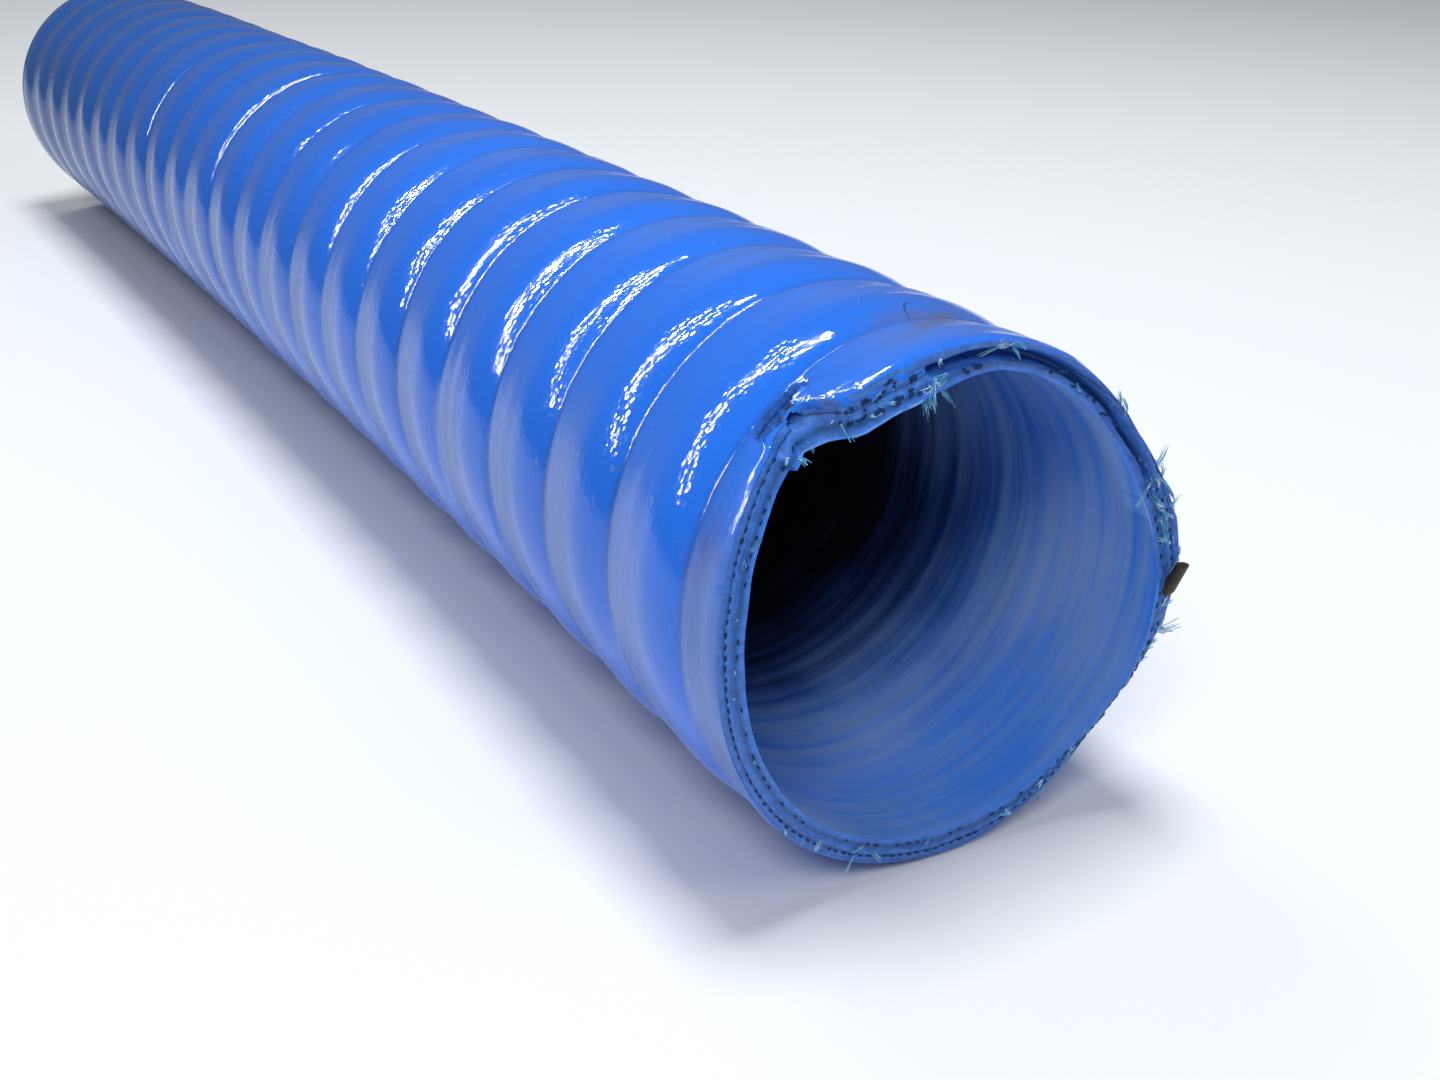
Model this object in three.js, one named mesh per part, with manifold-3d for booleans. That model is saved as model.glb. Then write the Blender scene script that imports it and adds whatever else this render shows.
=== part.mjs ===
import * as THREE from 'three';
import Module from 'manifold-3d';

const wasm = await Module();
wasm.setup();

// Driving dimensions, in millimetres.
const boreDiameter = 76.2;
const wallThickness = 5.3; // bore to the top of a rib
const hoseLength = 554;
const bendRadius = 9600; // the slight set that the length keeps from its coil
const ribPitch = 25;
const ribDepth = 0.9; // top of a rib down to the crease beside it
const wireDiameter = 2.2;
const wireCover = 1.1; // hose wall between the bore and the wire's channel
const wireClearance = 0.35;
const wireStickOut = 4; // wire end past the cut face
const cutDepth = 12; // deepest place of the rough cut, back from square
const grooveDepth = 0.5; // centre of the emptied groove below the cut face

// Places around the hose, in degrees: 0 is +Y, 90 is up, seen from the cut end.
const ribMark = 122; // where the crease nearest the cut end is measured
const creaseDepthAtMark = 16.5; // millimetres in from the cut end
const wireEndAngle = 3;
const wireLeavesHelixAngle = -62;
const grooveStartAngle = 20;
const grooveEndAngle = 104;

// Sides of the round shapes. The flats of the polygon lie level at the bottom.
const stepsPerTurn = 20;
const wireSides = 5;

// One rib, from its crease towards the cut end: share of the pitch, share of the depth.
const ribProfile = [[0, 1], [0.18, 0.5], [0.44, 0.1], [0.66, 0], [0.86, 0.35]];
const crestShare = 0.66;

// The hand-cut end: angle, then how far the inner and the outer edge lie back from square,
// as shares of cutDepth.
const cutEdge = [
  [0, -0.1, -0.15], [12, 0.11, -0.12], [25, 0.3, 0.02], [38, 0.42, 0.1], [60, 0.4, 0.15],
  [80, 0.32, 0.23], [98, 0.03, 0.2], [107, -0.05, 0.21], [115, 0, 0.24], [119, 0.05, 0.4],
  [121, 0.12, 0.75], [123, 0.28, 0.93], [125, 0.42, 1], [130, 0.61, 0.85], [132, 0.66, 0.81],
  [135, 0.61, 0.67], [140, 0.55, 0.6], [145, 0.44, 0.52], [150, 0.35, 0.43], [165, 0.12, 0.23],
  [180, -0.02, 0.11], [205, -0.1, 0.02], [235, 0, 0], [258, 0, 0], [281, 0, 0], [304, 0, 0],
  [322, -0.13, 0.02], [338, -0.22, -0.08],
];

// Worked out from the sizes above.
const boreRadius = boreDiameter / 2;
const hoseRadius = boreRadius + wallThickness;
const wireRadius = wireDiameter / 2;
const channelRadius = wireRadius + wireClearance / Math.cos(Math.PI / wireSides);
const wireHelixRadius = boreRadius + wireCover + channelRadius;
const stepAngle = 360 / stepsPerTurn;
const firstAngle = stepAngle / 2;
const halfLength = hoseLength / 2;
const axisHeight = hoseRadius * Math.cos(THREE.MathUtils.degToRad(firstAngle));
const pastTheEnd = 2 * ribPitch; // how far the cutting shapes run past both ends

// A point of the bent hose: place along its middle line, angle around it and radius.
function hosePoint(along, angle, radius) {
  const turn = along / bendRadius;
  const around = THREE.MathUtils.degToRad(angle);
  const reach = bendRadius + radius * Math.cos(around);
  return new THREE.Vector3(
    reach * Math.sin(turn),
    reach * Math.cos(turn) - bendRadius,
    axisHeight + radius * Math.sin(around),
  );
}

function ring(along, radius) {
  const points = [];
  for (let j = 0; j < stepsPerTurn; j += 1) {
    points.push(hosePoint(along, firstAngle + j * stepAngle, radius));
  }
  return points;
}

function meshFrom(points, faces) {
  const geometry = new THREE.BufferGeometry().setFromPoints(points);
  geometry.setIndex(faces.flat());
  return geometry;
}

// A closed shape through rings of equally many points, with a fan over each end ring.
function loft(rings) {
  const sides = rings[0].length;
  const points = rings.flat();
  const faces = [];
  for (let i = 0; i + 1 < rings.length; i += 1) {
    for (let j = 0; j < sides; j += 1) {
      const a = i * sides + j;
      const b = i * sides + ((j + 1) % sides);
      faces.push([a, b, a + sides], [b, b + sides, a + sides]);
    }
  }
  const last = (rings.length - 1) * sides;
  const middle = (from) => {
    const sum = new THREE.Vector3();
    for (let j = 0; j < sides; j += 1) sum.add(points[from + j]);
    return sum.divideScalar(sides);
  };
  const startMiddle = points.push(middle(0)) - 1;
  const endMiddle = points.push(middle(last)) - 1;
  for (let j = 0; j < sides; j += 1) {
    const k = (j + 1) % sides;
    faces.push([startMiddle, k, j], [endMiddle, last + j, last + k]);
  }
  return meshFrom(points, faces);
}

// The place of the ribs' crease along the hose, at an angle counted through all turns.
function creaseAlong(angle) {
  return halfLength - creaseDepthAtMark + (ribPitch * (angle - ribMark)) / 360;
}

// The outside of the hose as a solid rod: one strip of rib wound as a right-hand helix.
function ribbedRod() {
  const perRib = ribProfile.length;
  const turns = Math.ceil((hoseLength + 2 * pastTheEnd) / ribPitch);
  const steps = turns * stepsPerTurn;
  const startAngle = firstAngle - 360 * Math.ceil((hoseLength + pastTheEnd) / ribPitch);
  const points = [];
  const addPoint = (step, [share, depth]) => {
    const angle = startAngle + step * stepAngle;
    points.push(hosePoint(creaseAlong(angle) + share * ribPitch, angle, hoseRadius - depth * ribDepth));
  };
  for (let step = 0; step <= steps; step += 1) {
    ribProfile.forEach((point) => addPoint(step, point));
  }
  for (let step = steps + 1; step <= steps + stepsPerTurn; step += 1) {
    addPoint(step, ribProfile[0]);
  }
  const id = (step, k) => {
    if (k === perRib) return id(step + stepsPerTurn, 0);
    return step <= steps ? step * perRib + k : (steps + 1) * perRib + (step - steps - 1);
  };
  const faces = [];
  for (let step = 0; step < steps; step += 1) {
    for (let k = 0; k < perRib; k += 1) {
      const a = id(step, k);
      const b = id(step + 1, k);
      const c = id(step + 1, k + 1);
      const d = id(step, k + 1);
      faces.push([a, b, d], [b, c, d]);
    }
  }
  const edgeLoop = (start) => {
    const loop = [];
    for (let step = 0; step < stepsPerTurn; step += 1) loop.push(id(start + step, 0));
    for (let k = perRib; k > 0; k -= 1) loop.push(id(start, k));
    return loop;
  };
  const fan = (loop, along, flip) => {
    const middle = points.push(hosePoint(along, 0, 0)) - 1;
    loop.forEach((from, i) => {
      const to = loop[(i + 1) % loop.length];
      faces.push(flip ? [middle, from, to] : [middle, to, from]);
    });
  };
  const alongAt = (step) => creaseAlong(startAngle + step * stepAngle) + ribPitch / 2;
  fan(edgeLoop(0), alongAt(0), false);
  fan(edgeLoop(steps), alongAt(steps), true);
  return meshFrom(points, faces);
}

// How far back the cut lies at an angle: across 0 is the bore's edge and 1 the outer edge.
function cutBack(angle, across) {
  const first = cutEdge[0];
  const edge = [...cutEdge, [first[0] + 360, first[1], first[2]]];
  const turned = THREE.MathUtils.euclideanModulo(angle - first[0], 360) + first[0];
  const next = Math.max(1, edge.findIndex((row) => row[0] > turned));
  const [from, to] = [edge[next - 1], edge[next]];
  const share = (turned - from[0]) / (to[0] - from[0]);
  const back = (row) => THREE.MathUtils.lerp(row[1], row[2], across);
  return cutDepth * THREE.MathUtils.lerp(back(from), back(to), share);
}

// What the two cuts leave: square at the far end and uneven at the near one.
function trimmedLength() {
  const faceRing = (radius, across) => cutEdge.map(
    ([angle]) => hosePoint(halfLength - cutBack(angle, across), angle, radius),
  );
  const farRing = (radius) => cutEdge.map(([angle]) => hosePoint(-halfLength, angle, radius));
  const outside = hoseRadius + 2 * wallThickness;
  const inside = boreRadius - 2 * wallThickness;
  return loft([
    farRing(outside), faceRing(outside, 1), faceRing(hoseRadius, 1),
    faceRing(boreRadius, 0), faceRing(inside, 0),
  ]);
}

function boreRod() {
  const pieces = 8;
  const rings = [];
  for (let i = 0; i <= pieces; i += 1) {
    const along = THREE.MathUtils.lerp(-halfLength - pastTheEnd, halfLength + pastTheEnd, i / pieces);
    rings.push(ring(along, boreRadius));
  }
  return loft(rings);
}

// The wire lies under the crest of the rib, and its last piece is bent out past the cut.
function wireAlong(angle) {
  const helix = creaseAlong(angle) + (crestShare - 1) * ribPitch;
  const out = THREE.MathUtils.smoothstep(angle, wireLeavesHelixAngle, wireEndAngle);
  return THREE.MathUtils.lerp(helix, halfLength + wireStickOut, out);
}

// A rod of the wire's shape that winds around the hose at the wire's place in the wall.
function roundTheHose(fromAngle, toAngle, alongAt, radius) {
  const angles = [];
  for (let angle = fromAngle; angle < toAngle; angle += stepAngle) angles.push(angle);
  angles.push(toAngle);
  return loft(angles.map((angle) => {
    const section = [];
    for (let k = 0; k < wireSides; k += 1) {
      const side = (2 * Math.PI * k) / wireSides;
      section.push(hosePoint(
        alongAt(angle) + radius * Math.cos(side),
        angle,
        wireHelixRadius + radius * Math.sin(side),
      ));
    }
    return section;
  }));
}

function solidOf(geometry) {
  return new wasm.Manifold(new wasm.Mesh({
    numProp: 3,
    vertProperties: new Float32Array(geometry.attributes.position.array),
    triVerts: new Uint32Array(geometry.index.array),
  }));
}

function geometryOf(solid) {
  const mesh = solid.getMesh();
  const geometry = new THREE.BufferGeometry();
  geometry.setAttribute('position', new THREE.BufferAttribute(mesh.vertProperties, 3));
  geometry.setIndex(new THREE.BufferAttribute(mesh.triVerts, 1));
  geometry.computeVertexNormals();
  return geometry;
}

const wireTurns = Math.ceil((hoseLength + ribPitch) / ribPitch);
const wireStartAngle = firstAngle - 360 * wireTurns;
const farEndTrim = loft([
  ring(-halfLength, 2 * hoseRadius),
  ring(halfLength + pastTheEnd, 2 * hoseRadius),
]);

const channel = roundTheHose(wireStartAngle, wireEndAngle, wireAlong, channelRadius);
const grooveAlong = (angle) => halfLength - cutBack(angle, 0.5) - grooveDepth;
const groove = roundTheHose(grooveStartAngle, grooveEndAngle, grooveAlong, channelRadius);
const wallSolid = solidOf(ribbedRod())
  .intersect(solidOf(trimmedLength()))
  .subtract(solidOf(boreRod()))
  .subtract(solidOf(channel))
  .subtract(solidOf(groove));
const wire = roundTheHose(wireStartAngle, wireEndAngle, wireAlong, wireRadius);
const wireSolid = solidOf(wire).intersect(solidOf(farEndTrim));

const hoseWall = new THREE.Mesh(
  geometryOf(wallSolid),
  new THREE.MeshStandardMaterial({ color: '#3f6da6', roughness: 0.45, metalness: 0 }),
);
hoseWall.name = 'hose_wall';

const wireHelix = new THREE.Mesh(
  geometryOf(wireSolid),
  new THREE.MeshStandardMaterial({ color: '#4b4233', roughness: 0.6, metalness: 0.7 }),
);
wireHelix.name = 'wire_helix';

// The origin is on the floor, under the middle of the hose.
const hose = new THREE.Group();
hose.add(hoseWall, wireHelix);
const box = new THREE.Box3().setFromObject(hose);
const middle = box.getCenter(new THREE.Vector3());
hose.position.set(-middle.x, -middle.y, -box.min.z);

export default hose;
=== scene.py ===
import math
import random

import bmesh
import bpy
from mathutils import Matrix, Vector, noise


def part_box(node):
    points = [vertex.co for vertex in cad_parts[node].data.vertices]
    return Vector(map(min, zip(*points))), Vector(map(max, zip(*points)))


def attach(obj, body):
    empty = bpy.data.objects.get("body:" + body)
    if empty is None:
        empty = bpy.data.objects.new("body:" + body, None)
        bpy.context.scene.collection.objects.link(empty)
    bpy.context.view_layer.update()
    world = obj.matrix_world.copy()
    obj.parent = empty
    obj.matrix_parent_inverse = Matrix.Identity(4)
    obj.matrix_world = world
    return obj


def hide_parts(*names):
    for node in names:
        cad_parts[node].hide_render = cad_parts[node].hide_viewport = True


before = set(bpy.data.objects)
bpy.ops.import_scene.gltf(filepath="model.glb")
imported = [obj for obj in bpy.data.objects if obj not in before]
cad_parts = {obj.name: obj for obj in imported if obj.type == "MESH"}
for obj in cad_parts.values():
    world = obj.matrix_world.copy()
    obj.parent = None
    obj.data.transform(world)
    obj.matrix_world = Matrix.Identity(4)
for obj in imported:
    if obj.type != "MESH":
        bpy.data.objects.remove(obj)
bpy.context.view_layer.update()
wallLow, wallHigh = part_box("hose_wall")
print("frame loaded:", sorted(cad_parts))

# The hose itself, in metres and degrees. Angle 0 is to the right when facing the cut end, 90 is up.
hose = {
    "bore": 0.0762,
    "wall": 0.0053,
    "length": 0.554,
    "bendRadius": 9.6,
    "ribPitch": 0.025,
    "ribDepth": 0.0013,
    "crestShare": 0.62,     # where the crest lies, from one crease to the next
    "ribMark": 122,         # the angle where the crease nearest the cut is placed
    "creaseBack": 0.0165,   # how far that crease lies behind the cut
    "handWaviness": 0.00025,
    "wrapFold": 0.00016,    # soft folds that the wrapping tape left on the broad side of a rib
    "foldsPerRib": 3.4,
    "stepsAround": 180,
    "stations": [0, 0.02, 0.07, 0.14, 0.21, 0.28, 0.35, 0.42, 0.49, 0.56, 0.62, 0.7, 0.8, 0.9, 0.97],
}
boreRadius = hose["bore"] / 2
hoseRadius = boreRadius + hose["wall"]
halfLength = hose["length"] / 2
pitch = hose["ribPitch"]

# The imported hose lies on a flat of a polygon, so its middle line is half its height up.
axisHeight = (wallLow.z + wallHigh.z) / 2
farTurn = halfLength / hose["bendRadius"]
shiftX = wallLow.x + (hose["bendRadius"] + axisHeight) * math.sin(farTurn)
shiftY = wallHigh.y - axisHeight


def hosePoint(along, angle, radius):
    turn = along / hose["bendRadius"]
    around = math.radians(angle)
    reach = hose["bendRadius"] + radius * math.cos(around)
    return Vector((
        shiftX + reach * math.sin(turn),
        shiftY + reach * math.cos(turn) - hose["bendRadius"],
        axisHeight + radius * math.sin(around),
    ))


def hosePlace(point):
    x = point.x - shiftX
    y = point.y - shiftY + hose["bendRadius"]
    out = math.hypot(x, y) - hose["bendRadius"]
    up = point.z - axisHeight
    along = hose["bendRadius"] * math.atan2(x, y)
    return along, math.degrees(math.atan2(up, out)) % 360, math.hypot(out, up)


# How many ribs a place is past the first crease; the whole numbers are creases.
def ribCount(along, angle):
    return (along - halfLength + hose["creaseBack"]) / pitch - (angle - hose["ribMark"]) / 360


def creaseAlong(angle):
    return halfLength - hose["creaseBack"] + pitch * (angle - hose["ribMark"]) / 360


# The rough cut: angle, how far the bore's edge lies back, and how far the outer edge lies back,
# as shares of its deepest place.
cutDepth = 0.012
roughCut = [
    (0, -0.1, -0.15), (12, 0.11, -0.12), (25, 0.3, 0.02), (38, 0.42, 0.1), (60, 0.4, 0.15),
    (80, 0.32, 0.23), (98, 0.03, 0.2), (107, -0.05, 0.21), (115, 0, 0.24), (119, 0.05, 0.4),
    (121, 0.12, 0.75), (123, 0.28, 0.93), (125, 0.42, 1), (130, 0.61, 0.85), (132, 0.66, 0.81),
    (135, 0.61, 0.67), (140, 0.55, 0.6), (145, 0.44, 0.52), (150, 0.35, 0.43), (165, 0.12, 0.23),
    (180, -0.02, 0.11), (205, -0.1, 0.02), (235, 0, 0), (258, 0, 0), (281, 0, 0), (304, 0, 0),
    (322, -0.13, 0.02), (338, -0.22, -0.08), (360, -0.1, -0.15),
]

# Where the outer edge was pressed in: angle and how far, in metres.
edgePress = [
    (0, 0.0001), (12, 0.0003), (24, 0.0012), (36, 0.0018), (48, 0.0013), (62, 0.0004), (80, 0.0),
    (115, 0.0), (150, 0.0005), (180, 0.0009), (205, 0.0007), (228, 0.0001), (282, 0.0), (298, 0.0008),
    (314, 0.0018), (332, 0.0013), (348, 0.0003), (360, 0.0001),
]


def tableAt(table, angle):
    angle %= 360
    for first, second in zip(table, table[1:]):
        if first[0] <= angle <= second[0]:
            share = (angle - first[0]) / (second[0] - first[0])
            return [a + (b - a) * share for a, b in zip(first[1:], second[1:])]
    return list(table[0][1:])


def smooth(low, high, value):
    share = min(1.0, max(0.0, (value - low) / (high - low)))
    return share * share * (3 - 2 * share)


def cutBack(angle, across):
    inner, outer = tableAt(roughCut, angle)
    return cutDepth * (inner + (outer - inner) * across)


def noiseAt(x, y, z, scale):
    return noise.noise(Vector((x, y, z)) * scale)


# One rib's depth below the crest, from crease to crease, going towards the cut end.
def ribFall(share):
    crest = hose["crestShare"]
    if share < crest:
        return ((crest - share) / crest) ** 1.3
    return ((share - crest) / (1 - crest)) ** 1.9


# A slit beside the flap, where the outer ply came away from the rest.
slit = {"from": 117, "to": 133.8, "backFrom": 0.0153, "backTo": 0.0124, "halfWidth": 0.0019, "depth": 0.0026}


def slitDepth(along, angle):
    if not slit["from"] < angle < slit["to"]:
        return 0.0
    share = (angle - slit["from"]) / (slit["to"] - slit["from"])
    middle = slit["backFrom"] + (slit["backTo"] - slit["backFrom"]) * share
    width = (0.00025 + slit["halfWidth"] * share ** 0.8) * (1 - smooth(0.94, 1.0, share))
    off = (halfLength - along - middle) / max(width, 0.00001)
    if abs(off) < 1:
        return slit["depth"] * min(1.0, share * 4) * (1 - off ** 4)
    lip = math.exp(-((abs(off) - 1) * max(width, 0.0005) / 0.0009) ** 2)
    return -0.00035 * lip * smooth(0.1, 0.5, share)


def outsideRadius(along, angle):
    angle %= 360
    count = ribCount(along, angle)
    rib = math.floor(count + 1e-6)
    share = min(1.0, max(0.0, count - rib))
    around = math.radians(angle)
    cx, cy = math.cos(around), math.sin(around)
    depth = hose["ribDepth"] * (1 + 0.3 * noiseAt(cx * 1.3, cy * 1.3, rib * 0.7, 1.0))
    radius = hoseRadius - depth * ribFall(share)
    radius += hose["handWaviness"] * noiseAt(cx, cy, along * 40, 1.4) - hose["handWaviness"] * 0.6
    folded = smooth(0.02, 0.12, share) * (1 - smooth(0.42, 0.58, share))
    strength = 0.35 + 0.9 * noiseAt(cx, cy, rib * 1.9, 1.6) + 0.75 * math.exp(-((angle - 75) / 34) ** 2)
    wave = math.sin(2 * math.pi * hose["foldsPerRib"] * share + 2.5 * noiseAt(cx, cy, rib, 1.2))
    radius += hose["wrapFold"] * folded * max(0.0, strength) * wave
    back = halfLength - along - cutBack(angle, 1)
    if back < 0.02:
        press = tableAt(edgePress, angle)[0]
        radius -= press * (1 - smooth(0, 0.014, back))
        radius -= 0.00035 * (1 - smooth(0, 0.0012, back))
        radius -= slitDepth(along, angle)
    return radius


def newPiece(name, bm, material, smoothAngle=None):
    mesh = bpy.data.meshes.new(name)
    bm.to_mesh(mesh)
    bm.free()
    for m in material if isinstance(material, list) else [material]:
        mesh.materials.append(m)
    mesh.polygons.foreach_set("use_smooth", [True] * len(mesh.polygons))
    if smoothAngle:
        mesh.set_sharp_from_angle(angle=math.radians(smoothAngle))
    piece = bpy.data.objects.new(name, mesh)
    bpy.context.scene.collection.objects.link(piece)
    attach(piece, "root")
    return piece


# Short ways to build shader nodes.
def newMaterial(name):
    material = bpy.data.materials.new(name)
    material.use_nodes = True
    nodes = material.node_tree.nodes
    return material, nodes, material.node_tree.links, nodes["Principled BSDF"]


def addNode(nodes, kind, **values):
    node = nodes.new(kind)
    for key, value in values.items():
        setattr(node, key, value)
    return node


def mathNode(nodes, links, operation, first, second=None, third=None, clamp=False):
    node = addNode(nodes, "ShaderNodeMath", operation=operation, use_clamp=clamp)
    for socket, value in zip(node.inputs, (first, second, third)):
        if value is None:
            continue
        if isinstance(value, (int, float)):
            socket.default_value = value
        else:
            links.new(value, socket)
    return node.outputs[0]


def rampNode(nodes, links, factor, stops, interpolation="LINEAR"):
    node = addNode(nodes, "ShaderNodeValToRGB")
    node.color_ramp.interpolation = interpolation
    elements = node.color_ramp.elements
    while len(elements) < len(stops):
        elements.new(0.5)
    for element, (position, colour) in zip(elements, stops):
        element.position = position
        element.color = (*colour, 1) if isinstance(colour, tuple) else (colour, colour, colour, 1)
    links.new(factor, node.inputs["Fac"])
    return node.outputs["Color"]


def mixColour(nodes, links, factor, first, second, blend="MIX"):
    node = addNode(nodes, "ShaderNodeMix", data_type="RGBA", blend_type=blend)
    for socket, value in ((node.inputs[0], factor), (node.inputs[6], first), (node.inputs[7], second)):
        if isinstance(value, (int, float)):
            socket.default_value = value
        elif isinstance(value, tuple):
            socket.default_value = (*value, 1)
        else:
            links.new(value, socket)
    return node.outputs[2]


def noiseNode(nodes, links, vector, scale, detail=4.0, roughness=0.55):
    node = addNode(nodes, "ShaderNodeTexNoise")
    node.inputs["Scale"].default_value = scale
    node.inputs["Detail"].default_value = detail
    node.inputs["Roughness"].default_value = roughness
    links.new(vector, node.inputs["Vector"])
    return node.outputs["Fac"]


def stretched(nodes, links, vector, scale):
    node = addNode(nodes, "ShaderNodeMapping")
    node.inputs["Scale"].default_value = scale
    links.new(vector, node.inputs["Vector"])
    return node.outputs["Vector"]


# Streaks run round the hose: so many along one rib, so many round one turn.
def roundTheHose(nodes, links, place, aroundTurn, alongRib):
    around = aroundTurn / (2 * math.pi * hoseRadius)
    return stretched(nodes, links, place, (alongRib / pitch, around, around))


# Dust that settles in patches, with streaks along one direction. Both materials of the hose use it.
def buildDustGroup():
    group = bpy.data.node_groups.new("dustAndStreaks", "ShaderNodeTree")
    face = group.interface
    face.new_socket("Vector", in_out="INPUT", socket_type="NodeSocketVector")
    face.new_socket("Streak Vector", in_out="INPUT", socket_type="NodeSocketVector")
    patchSocket = face.new_socket("Patch Scale", in_out="INPUT", socket_type="NodeSocketFloat")
    patchSocket.default_value = 30
    face.new_socket("Dust", in_out="OUTPUT", socket_type="NodeSocketFloat")
    nodes, links = group.nodes, group.links
    given = addNode(nodes, "NodeGroupInput")
    result = addNode(nodes, "NodeGroupOutput")
    patches = addNode(nodes, "ShaderNodeTexNoise")
    patches.inputs["Detail"].default_value = 5
    links.new(given.outputs["Vector"], patches.inputs["Vector"])
    links.new(given.outputs["Patch Scale"], patches.inputs["Scale"])
    streaks = noiseNode(nodes, links, given.outputs["Streak Vector"], 1.0, 6, 0.65)
    low = mathNode(nodes, links, "MULTIPLY_ADD", patches.outputs["Fac"], 0.55, -0.05)
    both = mathNode(nodes, links, "MULTIPLY_ADD", streaks, 0.65, low)
    shaped = addNode(nodes, "ShaderNodeMapRange", interpolation_type="SMOOTHSTEP")
    shaped.inputs["From Min"].default_value = 0.34
    shaped.inputs["From Max"].default_value = 0.72
    links.new(both, shaped.inputs["Value"])
    links.new(shaped.outputs["Result"], result.inputs["Dust"])
    return group


dustGroup = buildDustGroup()


def dustNode(nodes, links, vector, streakVector, patchScale):
    node = addNode(nodes, "ShaderNodeGroup", node_tree=dustGroup)
    node.inputs["Patch Scale"].default_value = patchScale
    links.new(vector, node.inputs["Vector"])
    links.new(streakVector, node.inputs["Streak Vector"])
    return node.outputs["Dust"]


outsideLook = {
    "blue": (0.016, 0.165, 0.8),
    # the pale colour of dust, also used for the painted reflection of the floor on the broad side of the ribs
    "dust": (0.27, 0.33, 0.34),
    "dustAndSheenMost": 0.46,
    "creaseShadeBlue": (0.004, 0.05, 0.26),
    "farShadeBlue": (0.004, 0.06, 0.22),
    "greyDirt": (0.13, 0.115, 0.1),
    "rustDirt": (0.2, 0.11, 0.07),
    "crackShadeBlue": (0.01, 0.03, 0.09),
    "gloss": 0.06,
    "weaveScale": 1050,
    # where round the hose and how wide (in turns), how far behind the cut and how wide, colour, strength
    "smears": [
        (0.245, 0.05, 0.0145, 0.0075, "greyDirt", 0.95), (0.21, 0.045, 0.019, 0.006, "greyDirt", 0.8),
        (0.262, 0.035, 0.0075, 0.004, "greyDirt", 0.7), (0.435, 0.03, 0.005, 0.007, "rustDirt", 0.4),
        (0.452, 0.018, 0.01, 0.005, "rustDirt", 0.35), (0.55, 0.05, 0.004, 0.006, "greyDirt", 0.4),
    ],
    # the crack: where its hook peaks, how sharply it bends back, where it runs and how wide it is
    "crackPeak": 0.2335, "crackBend": -36.0, "crackBack": 0.0216, "crackMiddle": 0.24, "crackSpan": 0.014,
    "crackWidth": 0.0005,
}


# A soft window around one value: 1 in the middle, 0 at the given distance.
def windowNode(nodes, links, value, middle, width):
    off = mathNode(nodes, links, "ABSOLUTE", mathNode(nodes, links, "SUBTRACT", value, middle))
    node = addNode(nodes, "ShaderNodeMapRange", interpolation_type="SMOOTHSTEP")
    node.inputs["From Min"].default_value = width
    node.inputs["From Max"].default_value = 0
    links.new(off, node.inputs["Value"])
    return node.outputs["Result"]


def bumpNode(nodes, links, height, distance, strength=1.0, before=None):
    bump = addNode(nodes, "ShaderNodeBump")
    bump.inputs["Strength"].default_value = strength
    bump.inputs["Distance"].default_value = distance
    links.new(height, bump.inputs["Height"])
    if before:
        links.new(before, bump.inputs["Normal"])
    return bump.outputs["Normal"]


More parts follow.
